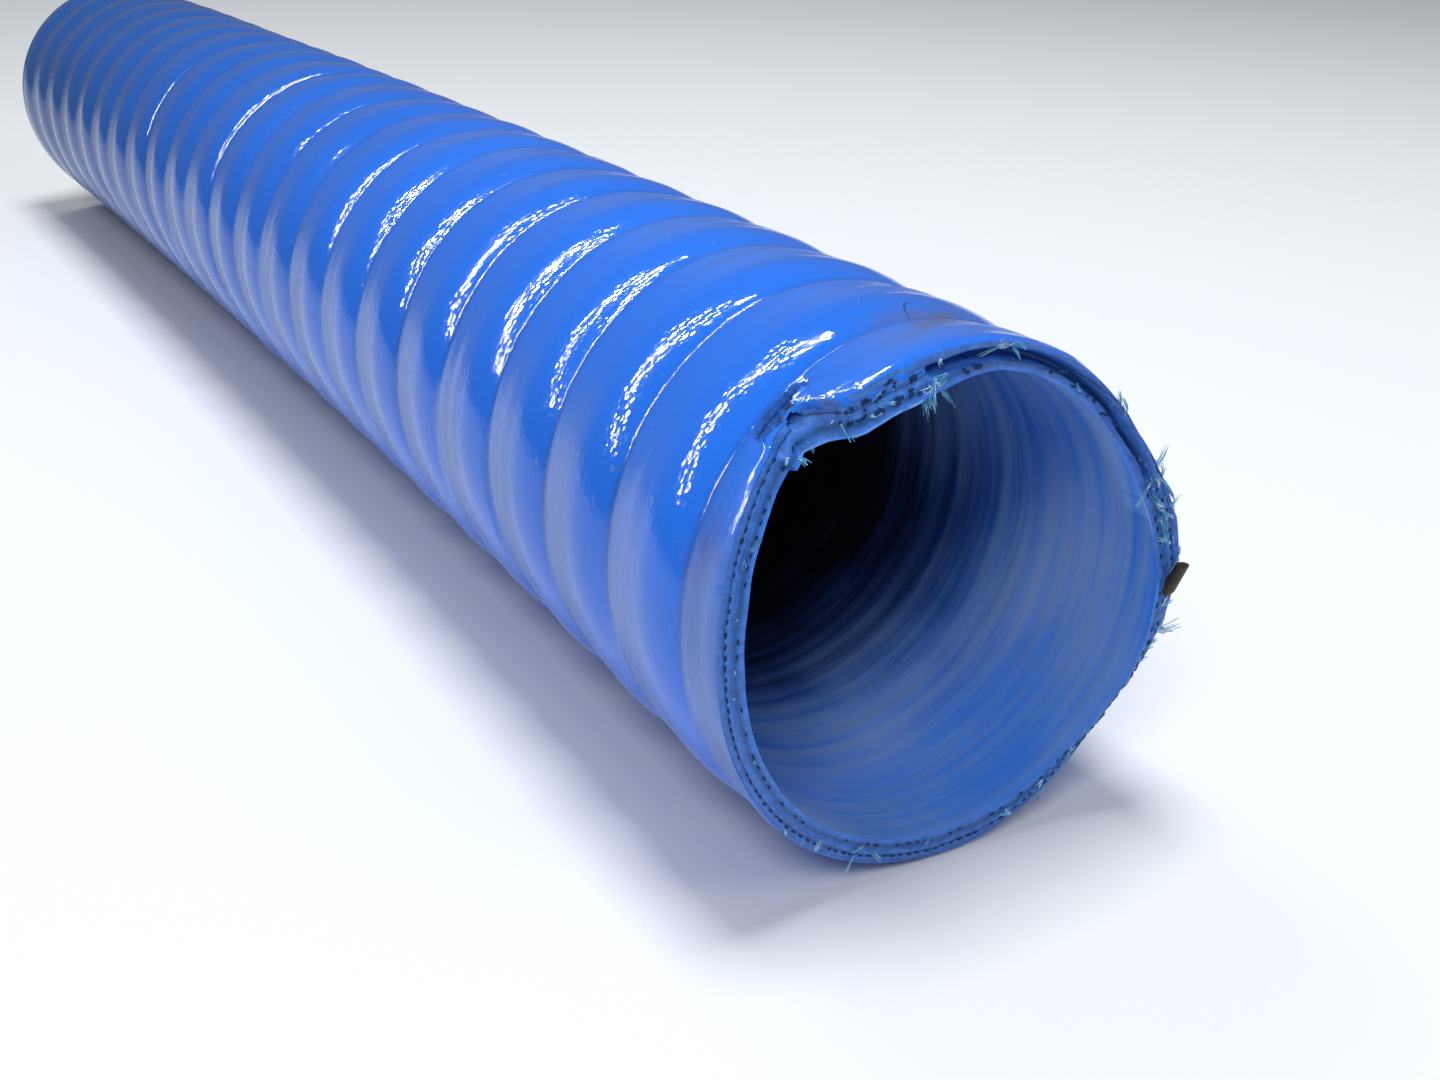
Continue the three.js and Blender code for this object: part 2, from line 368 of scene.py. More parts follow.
def makeOutside():
    material, nodes, links, shader = newMaterial("blueSilicone")
    look = outsideLook
    times = lambda a, b: mathNode(nodes, links, "MULTIPLY", a, b)
    place = addNode(nodes, "ShaderNodeTexCoord").outputs["Object"]
    uv = addNode(nodes, "ShaderNodeUVMap", uv_map="hoseMap").outputs["UV"]
    split = addNode(nodes, "ShaderNodeSeparateXYZ")
    links.new(uv, split.inputs["Vector"])
    turn, ribs = split.outputs["X"], split.outputs["Y"]
    share = mathNode(nodes, links, "FRACT", mathNode(nodes, links, "SUBTRACT", ribs, turn))
    behind = addNode(nodes, "ShaderNodeAttribute", attribute_name="behindCut").outputs["Fac"]

    # The broad side of each rib holds dust and a painted pale reflection of the floor and backdrop, more of it
    # low on the left than near the top.
    broad = rampNode(nodes, links, share, [
        (0.0, 0.5), (0.03, 0.85), (0.3, 1.0), (0.46, 0.85), (0.56, 0.2), (0.64, 0.0), (0.94, 0.0), (1.0, 0.25)])
    sides = rampNode(nodes, links, turn, [
        (0.0, 0.6), (0.13, 0.5), (0.27, 0.42), (0.32, 0.1), (0.385, 0.12), (0.43, 0.55), (0.5, 1.0),
        (0.6, 0.95), (0.75, 0.6), (1.0, 0.6)])
    streakPlace = roundTheHose(nodes, links, place, 5, 40)
    dust = dustNode(nodes, links, place, streakPlace, 22)
    dustAndSheen = times(times(mathNode(nodes, links, "MULTIPLY_ADD", dust, 0.6, 0.4), broad), sides)
    shade = noiseNode(nodes, links, place, 14, 3, 0.5)
    body = mixColour(nodes, links, rampNode(nodes, links, shade, [(0.3, 0.0), (0.7, 0.35)]),
                     look["blue"], tuple(0.72 * c for c in look["blue"]))
    body = mixColour(nodes, links, times(dustAndSheen, look["dustAndSheenMost"]), body, look["dust"])
    # Painted shade: the outside turns darker towards the far end, where less light reaches.
    farShade = rampNode(nodes, links, behind, [(0.18, 0.0), (0.5, 0.75)])
    body = mixColour(nodes, links, farShade, body, look["farShadeBlue"])
    # Painted shade, with some dirt, darkens each crease between ribs; the same mask roughens the creases.
    crease = rampNode(nodes, links, share, [
        (0.0, 0.25), (0.02, 0.12), (0.05, 0.0), (0.95, 0.0), (0.985, 0.15), (1.0, 0.25)])
    body = mixColour(nodes, links, crease, body, look["creaseShadeBlue"])

    # Grey smears on top and a rusty one on the upper left, just behind the cut.
    smear = noiseNode(nodes, links, roundTheHose(nodes, links, place, 26, 9), 1.0, 6, 0.72)
    smear = rampNode(nodes, links, smear, [(0.42, 0.0), (0.62, 1.0)])
    for middle, width, backMiddle, backWidth, colour, strength in look["smears"]:
        window = times(windowNode(nodes, links, turn, middle, width),
                       windowNode(nodes, links, behind, backMiddle, backWidth))
        body = mixColour(nodes, links, times(times(window, smear), strength), body, look[colour])

    # A small crack that curves back towards the cut, drawn as a painted dark line for the shade inside it.
    bend = mathNode(nodes, links, "SUBTRACT", turn, look["crackPeak"])
    bend = mathNode(nodes, links, "MULTIPLY_ADD", times(bend, bend), look["crackBend"], look["crackBack"])
    line = windowNode(nodes, links, mathNode(nodes, links, "SUBTRACT", behind, bend), 0.0, look["crackWidth"])
    crack = times(line, windowNode(nodes, links, turn, look["crackMiddle"], look["crackSpan"]))
    body = mixColour(nodes, links, crack, body, look["crackShadeBlue"])

    # The inside of the slit lies deeper in the wall than any crease, and gets painted shade.
    across = addNode(nodes, "ShaderNodeAttribute", attribute_name="wallShare").outputs["Fac"]
    slitShade = rampNode(nodes, links, across, [(0.5, 1.0), (0.74, 0.0)])
    body = mixColour(nodes, links, times(slitShade, 0.85), body, look["crackShadeBlue"])
    specks = noiseNode(nodes, links, place, 620, 2, 0.5)
    specks = rampNode(nodes, links, specks, [(0.735, 0.0), (0.76, 1.0)])
    body = mixColour(nodes, links, times(specks, 0.3), body, look["dust"])
    links.new(body, shader.inputs["Base Color"])

    gloss = mathNode(nodes, links, "MULTIPLY_ADD", dustAndSheen, 0.4, look["gloss"])
    fine = noiseNode(nodes, links, place, 300, 3, 0.6)
    gloss = mathNode(nodes, links, "MULTIPLY_ADD", fine, 0.04, gloss)
    gloss = mathNode(nodes, links, "MULTIPLY_ADD", crease, 0.2, gloss)
    links.new(gloss, shader.inputs["Roughness"])

    # The print of the wrapping cloth, and soft streaks along the wrap.
    weave = addNode(nodes, "ShaderNodeTexVoronoi", feature="F1")
    weave.inputs["Scale"].default_value = look["weaveScale"]
    links.new(stretched(nodes, links, place, (1.0, 0.7, 0.7)), weave.inputs["Vector"])
    patches = noiseNode(nodes, links, place, 120, 2, 0.5)
    printed = times(weave.outputs["Distance"], rampNode(nodes, links, patches, [(0.35, 0.15), (0.65, 1.0)]))
    normal = bumpNode(nodes, links, printed, 0.00006)
    streaky = noiseNode(nodes, links, roundTheHose(nodes, links, place, 6, 24), 1.0, 3, 0.5)
    normal = bumpNode(nodes, links, streaky, 0.00001, before=normal)
    links.new(normal, shader.inputs["Normal"])
    shader.inputs["Specular IOR Level"].default_value = 0.5
    return material


cutLook = {
    "rim": (0.04, 0.22, 0.85),
    "cutBlue": (0.03, 0.13, 0.52),
    "paleBand": (0.055, 0.19, 0.62),
    "thread": (0.005, 0.025, 0.12),
    "teal": (0.015, 0.1, 0.26),
}


def makeCutFace():
    material, nodes, links, shader = newMaterial("cutSilicone")
    look = cutLook
    place = addNode(nodes, "ShaderNodeTexCoord").outputs["Object"]
    across = addNode(nodes, "ShaderNodeAttribute", attribute_name="wallShare").outputs["Fac"]
    wander = noiseNode(nodes, links, place, 200, 3, 0.5)
    across = mathNode(nodes, links, "ADD", across, mathNode(nodes, links, "MULTIPLY_ADD", wander, 0.07, -0.035))
    body = rampNode(nodes, links, across, [
        (0.0, look["rim"]), (0.1, look["paleBand"]), (0.17, look["cutBlue"]), (0.23, look["teal"]),
        (0.3, look["cutBlue"]), (0.4, look["paleBand"]), (0.49, look["paleBand"]), (0.515, look["thread"]),
        (0.54, look["cutBlue"]), (0.65, look["paleBand"]), (0.71, look["cutBlue"]), (0.78, look["paleBand"]),
        (0.9, look["paleBand"]), (0.96, look["rim"]), (1.0, look["rim"])])
    torn = noiseNode(nodes, links, place, 700, 5, 0.7)
    mottled = rampNode(nodes, links, torn, [(0.3, 0.6), (0.7, 1.2)])
    body = mixColour(nodes, links, 1.0, body, mottled, "MULTIPLY")
    links.new(body, shader.inputs["Base Color"])
    links.new(mathNode(nodes, links, "MULTIPLY_ADD", torn, 0.3, 0.3), shader.inputs["Roughness"])
    grain = noiseNode(nodes, links, place, 2200, 3, 0.6)
    normal = bumpNode(nodes, links, torn, 0.00035)
    normal = bumpNode(nodes, links, grain, 0.00008, before=normal)
    links.new(normal, shader.inputs["Normal"])
    return material


boreLook = {
    "blue": (0.03, 0.22, 0.85),
    "dust": (0.36, 0.5, 0.64),
    "grime": (0.06, 0.07, 0.09),
    "sootAndShade": (0.004, 0.004, 0.005),
    "sootAndShadeFrom": 0.01,
    "sootAndShadeTo": 0.072,
}


def makeBore():
    material, nodes, links, shader = newMaterial("boreSilicone")
    look = boreLook
    place = addNode(nodes, "ShaderNodeTexCoord").outputs["Object"]
    behind = addNode(nodes, "ShaderNodeAttribute", attribute_name="behindCut").outputs["Fac"]
    rubbed = roundTheHose(nodes, links, place, 2.5, 8)
    dust = dustNode(nodes, links, place, rubbed, 24)
    body = mixColour(nodes, links, mathNode(nodes, links, "MULTIPLY", dust, 0.65), look["blue"], look["dust"])
    scratches = noiseNode(nodes, links, roundTheHose(nodes, links, place, 9, 60), 1.0, 3, 0.6)
    scratches = rampNode(nodes, links, scratches, [(0.56, 0.0), (0.74, 1.0)])
    body = mixColour(nodes, links, mathNode(nodes, links, "MULTIPLY", scratches, 0.16), body, look["dust"])
    dark = noiseNode(nodes, links, roundTheHose(nodes, links, place, 6, 16), 1.0, 5, 0.6)
    dark = rampNode(nodes, links, dark, [(0.5, 0.0), (0.72, 1.0)])
    body = mixColour(nodes, links, mathNode(nodes, links, "MULTIPLY", dark, 0.18), body, look["grime"])

    # Soot and painted shade gather further in, with a streaky front: the bore goes black with depth.
    front = mathNode(nodes, links, "MULTIPLY_ADD", dust, -0.035, behind)
    front = mathNode(nodes, links, "MULTIPLY_ADD", dark, 0.02, front)
    sootAndShadeMask = addNode(nodes, "ShaderNodeMapRange", interpolation_type="SMOOTHSTEP")
    sootAndShadeMask.inputs["From Min"].default_value = look["sootAndShadeFrom"]
    sootAndShadeMask.inputs["From Max"].default_value = look["sootAndShadeTo"]
    links.new(front, sootAndShadeMask.inputs["Value"])
    body = mixColour(nodes, links, sootAndShadeMask.outputs["Result"], body, look["sootAndShade"])
    links.new(body, shader.inputs["Base Color"])
    gloss = mathNode(nodes, links, "MULTIPLY_ADD", dust, 0.2, 0.42)
    gloss = mathNode(nodes, links, "MULTIPLY_ADD", sootAndShadeMask.outputs["Result"], 0.25, gloss)
    links.new(gloss, shader.inputs["Roughness"])
    normal = bumpNode(nodes, links, mathNode(nodes, links, "ADD", scratches, dust), 0.00003)
    links.new(normal, shader.inputs["Normal"])
    return material


cutRings = 16    # rings of faces across the cut
boreRings = 18   # rings of faces along the bore


# The hose wall is spun as a straight tube, wound along the rib's helix, cut at both ends and then shaped.
def makeHose():
    around, stations = hose["stepsAround"], hose["stations"]
    ribsEachWay = math.ceil(hose["length"] / pitch) + 3
    bm = bmesh.new()
    start = creaseAlong(0)
    line = []
    for rib in range(-ribsEachWay, 2):
        for share in stations:
            line.append(bm.verts.new((start + (rib + share) * pitch, hoseRadius, 0)))
    edges = [bm.edges.new(pair) for pair in zip(line, line[1:])]
    spun = bmesh.ops.spin(bm, geom=line + edges, cent=(0, 0, 0), axis=(1, 0, 0), angle=2 * math.pi,
                          steps=around, use_merge=False, use_duplicate=False)
    lastTurn = {v for v in spun["geom_last"] if isinstance(v, bmesh.types.BMVert)}
    for v in bm.verts:
        turn = 1.0 if v in lastTurn else (math.atan2(v.co.z, v.co.y) / (2 * math.pi)) % 1.0
        v.co.x += pitch * turn
    bmesh.ops.remove_doubles(bm, verts=bm.verts, dist=0.00002)

    # Cut where the rough edge would be, with the tube slid so that the edge is straight.
    for v in bm.verts:
        v.co.x += cutBack(math.degrees(math.atan2(v.co.z, v.co.y)), 1)
    for place, side in ((halfLength, 1), (-halfLength, -1)):
        bmesh.ops.bisect_plane(bm, geom=bm.verts[:] + bm.edges[:] + bm.faces[:], dist=0.00001,
                               plane_co=(place, 0, 0), plane_no=(side, 0, 0), clear_outer=True)
    nearEdges = [e for e in bm.edges if e.is_boundary and e.verts[0].co.x > 0]
    bmesh.ops.subdivide_edges(bm, edges=nearEdges, cuts=2)

    # A finer net beside the flap, where the slit is.
    def besideFlap(v):
        angle = math.degrees(math.atan2(v.co.z, v.co.y))
        return 112 < angle < 139 and v.co.x > halfLength - 0.0095
    fine = [e for e in bm.edges if all(besideFlap(v) for v in e.verts) and not e.is_boundary]
    bmesh.ops.subdivide_edges(bm, edges=fine, cuts=3, use_grid_fill=True)
    for v in bm.verts:
        angle = math.degrees(math.atan2(v.co.z, v.co.y))
        fade = smooth(-halfLength, -halfLength * 0.5, v.co.x)
        along = v.co.x - cutBack(angle, 1) * fade
        v.co = hosePoint(along, angle, outsideRadius(along, angle))

    def nextRing(edges, move):
        made = bmesh.ops.extrude_edge_only(bm, edges=edges)["geom"]
        for v in (g for g in made if isinstance(g, bmesh.types.BMVert)):
            v.co = move(v.co)
        return [g for g in made if isinstance(g, bmesh.types.BMEdge) and g.is_boundary]

    # The face of the cut, ring by ring from the outer edge to the bore.
    def faceRing(share):
        def move(co):
            _, angle, _ = hosePlace(co)
            across = 1 - share
            outer = outsideRadius(halfLength - cutBack(angle, 1), angle)
            radius = boreRadius + (outer - boreRadius) * across
            return hosePoint(faceAlong(angle, across), angle, radius)
        return move

    edges = [e for e in bm.edges if e.is_boundary and hosePlace(e.verts[0].co)[0] > 0]
    for ring in range(1, cutRings + 1):
        edges = nextRing(edges, faceRing(ring / cutRings))

    # The bore, from the cut to the far end.
    def boreRing(share):
        def move(co):
            _, angle, _ = hosePlace(co)
            near = halfLength - cutBack(angle, 0)
            return hosePoint(near + (-halfLength - near) * share, angle, boreRadius)
        return move

    for ring in range(1, boreRings + 1):
        edges = nextRing(edges, boreRing((ring / boreRings) ** 1.5))
    bmesh.ops.dissolve_degenerate(bm, edges=bm.edges, dist=0.000002)
    farEdges = [e for e in bm.edges if e.is_boundary]
    bmesh.ops.bridge_loops(bm, edges=farEdges)
    bmesh.ops.recalc_face_normals(bm, faces=bm.faces)
    return bm

# Marks of the cut face, in degrees and metres; a share of 0 is the bore and 1 the outside.
cutFace = {
    "grooveFrom": 20, "grooveTo": 102, "grooveShare": 0.56, "grooveWidth": 0.2, "grooveDepth": 0.0034,
    "holeAngle": 126.3, "holeShare": 0.72, "holeRadius": 0.0014, "holeDepth": 0.0045,
    "tongueFrom": 129.5, "tongueTo": 134.8, "tongueReach": 0.0018,
    "plyLine": 0.515, "plyDepth": 0.00022,
    "tornBy": 0.00042,
}


# How far along the hose the cut face lies at an angle and a share across the wall.
def faceAlong(angle, across):
    angle %= 360
    around = math.radians(angle)
    face = cutFace
    wander = 0.03 * noiseAt(math.cos(around), math.sin(around), 3, 5)
    groove = smooth(face["grooveFrom"] - 6, face["grooveFrom"] + 8, angle)
    groove *= 1 - smooth(face["grooveTo"] - 4, face["grooveTo"], angle)
    off = abs(across - face["grooveShare"] - wander) / face["grooveWidth"]
    back = face["grooveDepth"] * groove * max(0.0, 1 - off ** 3)
    aside = math.radians(angle - face["holeAngle"]) * hoseRadius
    hole = math.hypot(aside, (across - face["holeShare"]) * hose["wall"] * 1.5) / face["holeRadius"]
    back += face["holeDepth"] * max(0.0, 1 - hole ** 4)
    tongue = smooth(face["tongueFrom"], face["tongueFrom"] + 3, angle)
    tongue *= 1 - smooth(face["tongueTo"] - 0.8, face["tongueTo"], angle)
    back -= face["tongueReach"] * tongue * (1 - smooth(0.45, 0.75, across))
    line = math.exp(-((across - face["plyLine"] - wander) / 0.028) ** 2)
    back += face["plyDepth"] * line * (1 - groove)
    inside = math.sin(math.pi * min(1.0, max(0.0, across)))
    cx, cy = math.cos(around) * hoseRadius, math.sin(around) * hoseRadius
    ragged = 1.0 if 95 < angle < 137 or angle < 30 or angle > 300 else 0.45
    back += face["tornBy"] * ragged * inside * noiseAt(cx, cy, across * hose["wall"], 620)
    back += 0.0003 * noiseAt(cx, cy, 1, 160)
    return halfLength - cutBack(angle, across) - back


def mapHose(bm):
    uv = bm.loops.layers.uv.new("hoseMap")
    wallShare = bm.verts.layers.float.new("wallShare")
    behindCut = bm.verts.layers.float.new("behindCut")
    places = {}
    for v in bm.verts:
        along, angle, radius = hosePlace(v.co)
        places[v] = (along, angle, radius)
        v[wallShare] = (radius - boreRadius) / hose["wall"]
        v[behindCut] = halfLength - cutBack(angle, v[wallShare]) - along
    for f in bm.faces:
        along, middle, radius = hosePlace(f.calc_center_median())
        across = abs(f.normal.dot((hosePoint(along, middle, 1) - hosePoint(along, middle, 0)).normalized()))
        if radius > boreRadius + hose["wall"] * 0.6 and across > 0.6:
            f.material_index = 0
        elif radius < boreRadius + 0.0002 and across > 0.5:
            f.material_index = 2
        else:
            f.material_index = 1
        for loop in f.loops:
            vAlong, vAngle, _ = places[loop.vert]
            turned = middle + (vAngle - middle + 180) % 360 - 180
            count = ribCount(vAlong, turned) + turned / 360
            loop[uv].uv = (turned / 360, count)


hoseMesh = makeHose()
mapHose(hoseMesh)
hosePiece = newPiece("hose", hoseMesh, [makeOutside(), makeCutFace(), makeBore()], 50)
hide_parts("hose_wall")
print("hose wall made:", len(hosePiece.data.polygons), "faces")


# The wire in the wall: a helix whose last piece is bent out past the cut.
wire = {
    "radius": 0.0011,
    "ringRadius": boreRadius + 0.0026,
    "stickOut": 0.0040,
    "endAngle": 2,
    "leaves": -62,
    "stepsPerTurn": 48,
    "sides": 10,
}


def makeWire():
    bm = bmesh.new()
    turns = math.ceil(hose["length"] / pitch)
    total = turns * 360
    bmesh.ops.create_circle(bm, segments=wire["sides"], radius=wire["radius"], cap_ends=True)
    crest = creaseAlong(wire["endAngle"] - total) + (hose["crestShare"] - 1) * pitch
    ringSection = bm.verts[:]
    for v in ringSection:
        v.co = Vector((crest + v.co.x, wire["ringRadius"] + v.co.y, 0))
    steps = turns * wire["stepsPerTurn"]
    bmesh.ops.spin(bm, geom=bm.verts[:] + bm.edges[:] + bm.faces[:], cent=(0, 0, 0), axis=(1, 0, 0),
                   dvec=(pitch / wire["stepsPerTurn"], 0, 0), angle=math.radians(total), steps=steps,
                   use_merge=False, use_duplicate=False)
    bmesh.ops.bisect_plane(bm, geom=bm.verts[:] + bm.edges[:] + bm.faces[:], dist=0.00001,
                           plane_co=(-halfLength + 0.0005, 0, 0), plane_no=(-1, 0, 0), clear_outer=True)
    bmesh.ops.holes_fill(bm, edges=[e for e in bm.edges if e.is_boundary])
    bmesh.ops.recalc_face_normals(bm, faces=bm.faces)
    for v in bm.verts:
        radius = math.hypot(v.co.y, v.co.z)
        turned = math.degrees(math.atan2(v.co.z, v.co.y))
        count = round((v.co.x - crest - pitch * turned / 360) / pitch)
        angle = turned + 360 * count - total
        helix = crest + pitch * (angle + total) / 360
        out = smooth(wire["leaves"], wire["endAngle"], angle)
        along = v.co.x + (halfLength + wire["stickOut"] - helix) * out
        v.co = hosePoint(along, turned + wire["endAngle"], radius)
    return bm


def makeWireMaterial():
    material, nodes, links, shader = newMaterial("rustyWire")
    place = addNode(nodes, "ShaderNodeTexCoord").outputs["Object"]
    patches = noiseNode(nodes, links, place, 420, 5, 0.65)
    body = rampNode(nodes, links, patches, [
        (0.3, (0.03, 0.025, 0.016)), (0.5, (0.06, 0.048, 0.028)), (0.7, (0.09, 0.055, 0.026))])
    links.new(body, shader.inputs["Base Color"])
    shader.inputs["Metallic"].default_value = 0.55
    links.new(mathNode(nodes, links, "MULTIPLY_ADD", patches, 0.3, 0.4), shader.inputs["Roughness"])
    links.new(bumpNode(nodes, links, patches, 0.0002, 0.4), shader.inputs["Normal"])
    return material


wirePiece = newPiece("wire", makeWire(), makeWireMaterial(), 50)
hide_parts("wire_helix")
print("wire made:", len(wirePiece.data.polygons), "faces")


# Yarn: the cut ends of the plies lie in rows on the face, and tufts fray out of it.
yarn = {
    # share across the wall, spacing, size, how many are kept
    "rows": [(0.71, 0.0017, 0.00042, 0.95), (0.235, 0.0021, 0.0004, 0.6)],
    "fibreRadius": 0.00012,
    "fibresPerYarn": 7,
    "fibrePieces": 4,
    # angle, share, how full, length, spread in degrees, lean outwards, thickness
    "tufts": [
        (100, 0.45, 44, 0.0046, 3.2, -0.9, 1.5), (97, 0.75, 16, 0.003, 3, -0.5, 1.3),
        (103.5, 0.2, 16, 0.0036, 3, -0.7, 1.4), (82, 0.75, 18, 0.0034, 2.5, -0.6, 1.2),
        (79, 0.95, 10, 0.0028, 2, 0.2, 1.1), (72, 0.5, 10, 0.0022, 4, 0.0, 1.0),
        (21, 0.8, 50, 0.0034, 5, 0.25, 1.5), (15, 0.55, 34, 0.0032, 4, -0.1, 1.5),
        (27, 0.9, 16, 0.0026, 4, 0.3, 1.2), (8, 0.7, 18, 0.0018, 4, 0.1, 1.3),
        (2, 0.9, 20, 0.003, 3, 0.5, 1.2), (-9, 0.8, 14, 0.0024, 3, 0.3, 1.3),
        (-16, 0.8, 34, 0.0036, 3, 0.75, 1.5), (-22, 0.6, 16, 0.0024, 4, 0.4, 1.3),
        (-33, 0.5, 14, 0.002, 2.5, 0.2, 1.4), (-43, 0.6, 14, 0.0018, 3, 0.1, 1.4),
        (-52, 0.5, 18, 0.0021, 3, 0.0, 1.5), (-60, 0.45, 18, 0.0024, 3, 0.0, 1.5),
        (-75, 0.5, 14, 0.002, 4, 0.0, 1.4), (-98, 0.45, 12, 0.0018, 4, 0.0, 1.3),
        (-113, 0.6, 12, 0.002, 4, 0.1, 1.2), (-127, 0.85, 14, 0.0024, 3, 0.2, 1.1),
        (-138, 0.8, 8, 0.0018, 3, 0.0, 1.1), (-161, 0.35, 8, 0.0014, 8, 0.0, 1.2),
        (46, 0.95, 16, 0.0022, 4, 0.3, 1.3), (38, 0.8, 12, 0.0018, 4, 0.0, 1.2),
        (60, 0.4, 12, 0.0018, 7, 0.0, 1.2), (129, 0.2, 10, 0.0018, 2, -0.2, 1.3),
        (133, 0.4, 14, 0.0018, 2, -0.3, 1.4), (120, 0.4, 12, 0.0016, 3, 0.0, 1.3),
        (112, 0.3, 16, 0.0018, 5, 0.0, 1.3), (108, 0.7, 14, 0.0018, 4, 0.0, 1.3),
        (116, 0.55, 12, 0.0016, 4, 0.0, 1.3), (150, 0.3, 10, 0.0014, 8, 0.0, 1.1),
        (170, 0.28, 12, 0.0014, 9, 0.0, 1.1), (190, 0.28, 10, 0.0014, 8, 0.0, 1.1),
    ],
    # angle, share, size: dark knots on the broad torn part
    "knots": [
        (105, 0.62, 0.0007), (106.5, 0.3, 0.0006), (109, 0.75, 0.0006), (110, 0.33, 0.0008),
        (112, 0.6, 0.0006), (113.5, 0.28, 0.0007), (115.5, 0.7, 0.0007), (117, 0.35, 0.0007),
        (119, 0.6, 0.0006), (120.5, 0.35, 0.0006), (130.5, 0.35, 0.0005), (88, 0.24, 0.0006),
        (92, 0.24, 0.0005), (66, 0.3, 0.0005), (56, 0.28, 0.0006), (50, 0.27, 0.0005),
        (44, 0.25, 0.0005),
    ],
}


# The radius of a share across the wall, right at the cut.
def faceRadius(angle, share):
    return boreRadius + (outsideRadius(halfLength - cutBack(angle, 1), angle) - boreRadius) * share


def addYarnEnd(bm, angle, share, size, stretch):
    made = bmesh.ops.create_icosphere(bm, subdivisions=1, radius=size)["verts"]
    radius = faceRadius(angle, share)
    along = faceAlong(angle, share)
    for v in made:
        turn = math.degrees(v.co.y * stretch.y / radius)
        v.co = hosePoint(along + v.co.x * stretch.x, angle + turn, radius + v.co.z * stretch.z)


def makeYarnEnds():
    rng = random.Random(7)
    bm = bmesh.new()
    for share, spacing, size, keep in yarn["rows"]:
        count = int(2 * math.pi * (boreRadius + hose["wall"] * share) / spacing)
        for i in range(count):
            angle = 360 * (i + rng.uniform(-0.12, 0.12)) / count
            stretch = Vector((rng.uniform(0.35, 0.6), rng.uniform(1.1, 1.7), rng.uniform(0.45, 0.65)))
            off = rng.uniform(-0.02, 0.02)
            if rng.random() < keep and not cutFace["grooveFrom"] < angle < 134:
                addYarnEnd(bm, angle, share + off, size, stretch)
    for angle, share, size in yarn["knots"]:
        for _ in range(5):
            stretch = Vector((rng.uniform(0.4, 0.7), rng.uniform(0.7, 1.3), rng.uniform(0.4, 0.8)))
            addYarnEnd(bm, angle + rng.gauss(0, 0.8), share + rng.gauss(0, 0.05),
                       size * rng.uniform(0.5, 0.9), stretch)
    return bm


# A yarn is a bundle of fibres that splay towards their ends.
def makeFrayed():
    rng = random.Random(11)
    bm = bmesh.new()
    pieces, fibres = yarn["fibrePieces"], yarn["fibresPerYarn"]
    for angle, share, count, length, spread, outwards, thickness in yarn["tufts"]:
        for _ in range(max(2, round(count / fibres * 1.5))):
            a = angle + rng.gauss(0, spread * 0.45)
            s = min(0.95, max(0.05, share + rng.gauss(0, 0.12)))
            lean = Vector((rng.uniform(0.1, 0.6), rng.gauss(0, 0.7), rng.gauss(outwards, 0.35))).normalized()
            curl = Vector((rng.gauss(-0.3, 0.4), rng.gauss(0, 0.9), rng.gauss(0, 0.7)))
            radius = faceRadius(a, s)
            along = faceAlong(a, s) - 0.0002
            reach = length * rng.uniform(0.35, 0.85)
            for _ in range(fibres):
                ownLean = lean + Vector((rng.gauss(0, 0.1), rng.gauss(0, 0.1), rng.gauss(0, 0.1)))
                ownReach = reach * rng.uniform(0.7, 1.15)
                aside = Vector((0, rng.gauss(0, 0.00016), rng.gauss(0, 0.00016)))
                thick = yarn["fibreRadius"] * thickness * rng.uniform(0.6, 1.1)
                ring = bmesh.ops.create_circle(bm, segments=4, radius=thick, cap_ends=False)["verts"]
                local = [v.co.copy() for v in ring]
                edges = list({e for v in ring for e in v.link_edges})

                def settle(verts, offsets, step):
                    t = step / pieces
                    way = (ownLean + curl * t * 0.8) * (ownReach * t) + aside
                    shrink = 1 - 0.6 * t
                    for v, o in zip(verts, offsets):
                        v.co = hosePoint(along + way.x, a + math.degrees((way.y + o.x * shrink) / radius),
                                         radius + way.z + o.y * shrink)

                settle(ring, local, 0)
                for step in range(1, pieces + 1):
                    made = bmesh.ops.extrude_edge_only(bm, edges=edges)["geom"]
                    ring = [g for g in made if isinstance(g, bmesh.types.BMVert)]
                    edges = [g for g in made if isinstance(g, bmesh.types.BMEdge) and g.is_boundary]
                    settle(ring, local, step)
    bmesh.ops.holes_fill(bm, edges=[e for e in bm.edges if e.is_boundary], sides=4)
    bmesh.ops.recalc_face_normals(bm, faces=bm.faces)
    return bm


def makeYarnMaterial(name, stops, roughness):
    material, nodes, links, shader = newMaterial(name)
    place = addNode(nodes, "ShaderNodeTexCoord").outputs["Object"]
    tint = noiseNode(nodes, links, place, 330, 3, 0.6)
    links.new(rampNode(nodes, links, tint, stops), shader.inputs["Base Color"])
    shader.inputs["Roughness"].default_value = roughness
    fine = noiseNode(nodes, links, place, 2600, 2, 0.5)
    links.new(bumpNode(nodes, links, fine, 0.0002, 0.5), shader.inputs["Normal"])
    return material


yarnEnds = newPiece("yarn_ends", makeYarnEnds(), makeYarnMaterial("cutYarn", [
    (0.35, (0.003, 0.018, 0.085)), (0.6, (0.007, 0.04, 0.14)), (0.75, (0.02, 0.1, 0.17))], 0.8))
frayedYarn = newPiece("frayed_yarn", makeFrayed(), makeYarnMaterial("frayedYarn", [
    (0.32, (0.04, 0.2, 0.42)), (0.48, (0.12, 0.42, 0.66)), (0.64, (0.55, 0.74, 0.88))], 0.7))
print("yarn made:", len(yarnEnds.data.polygons), len(frayedYarn.data.polygons), "faces")


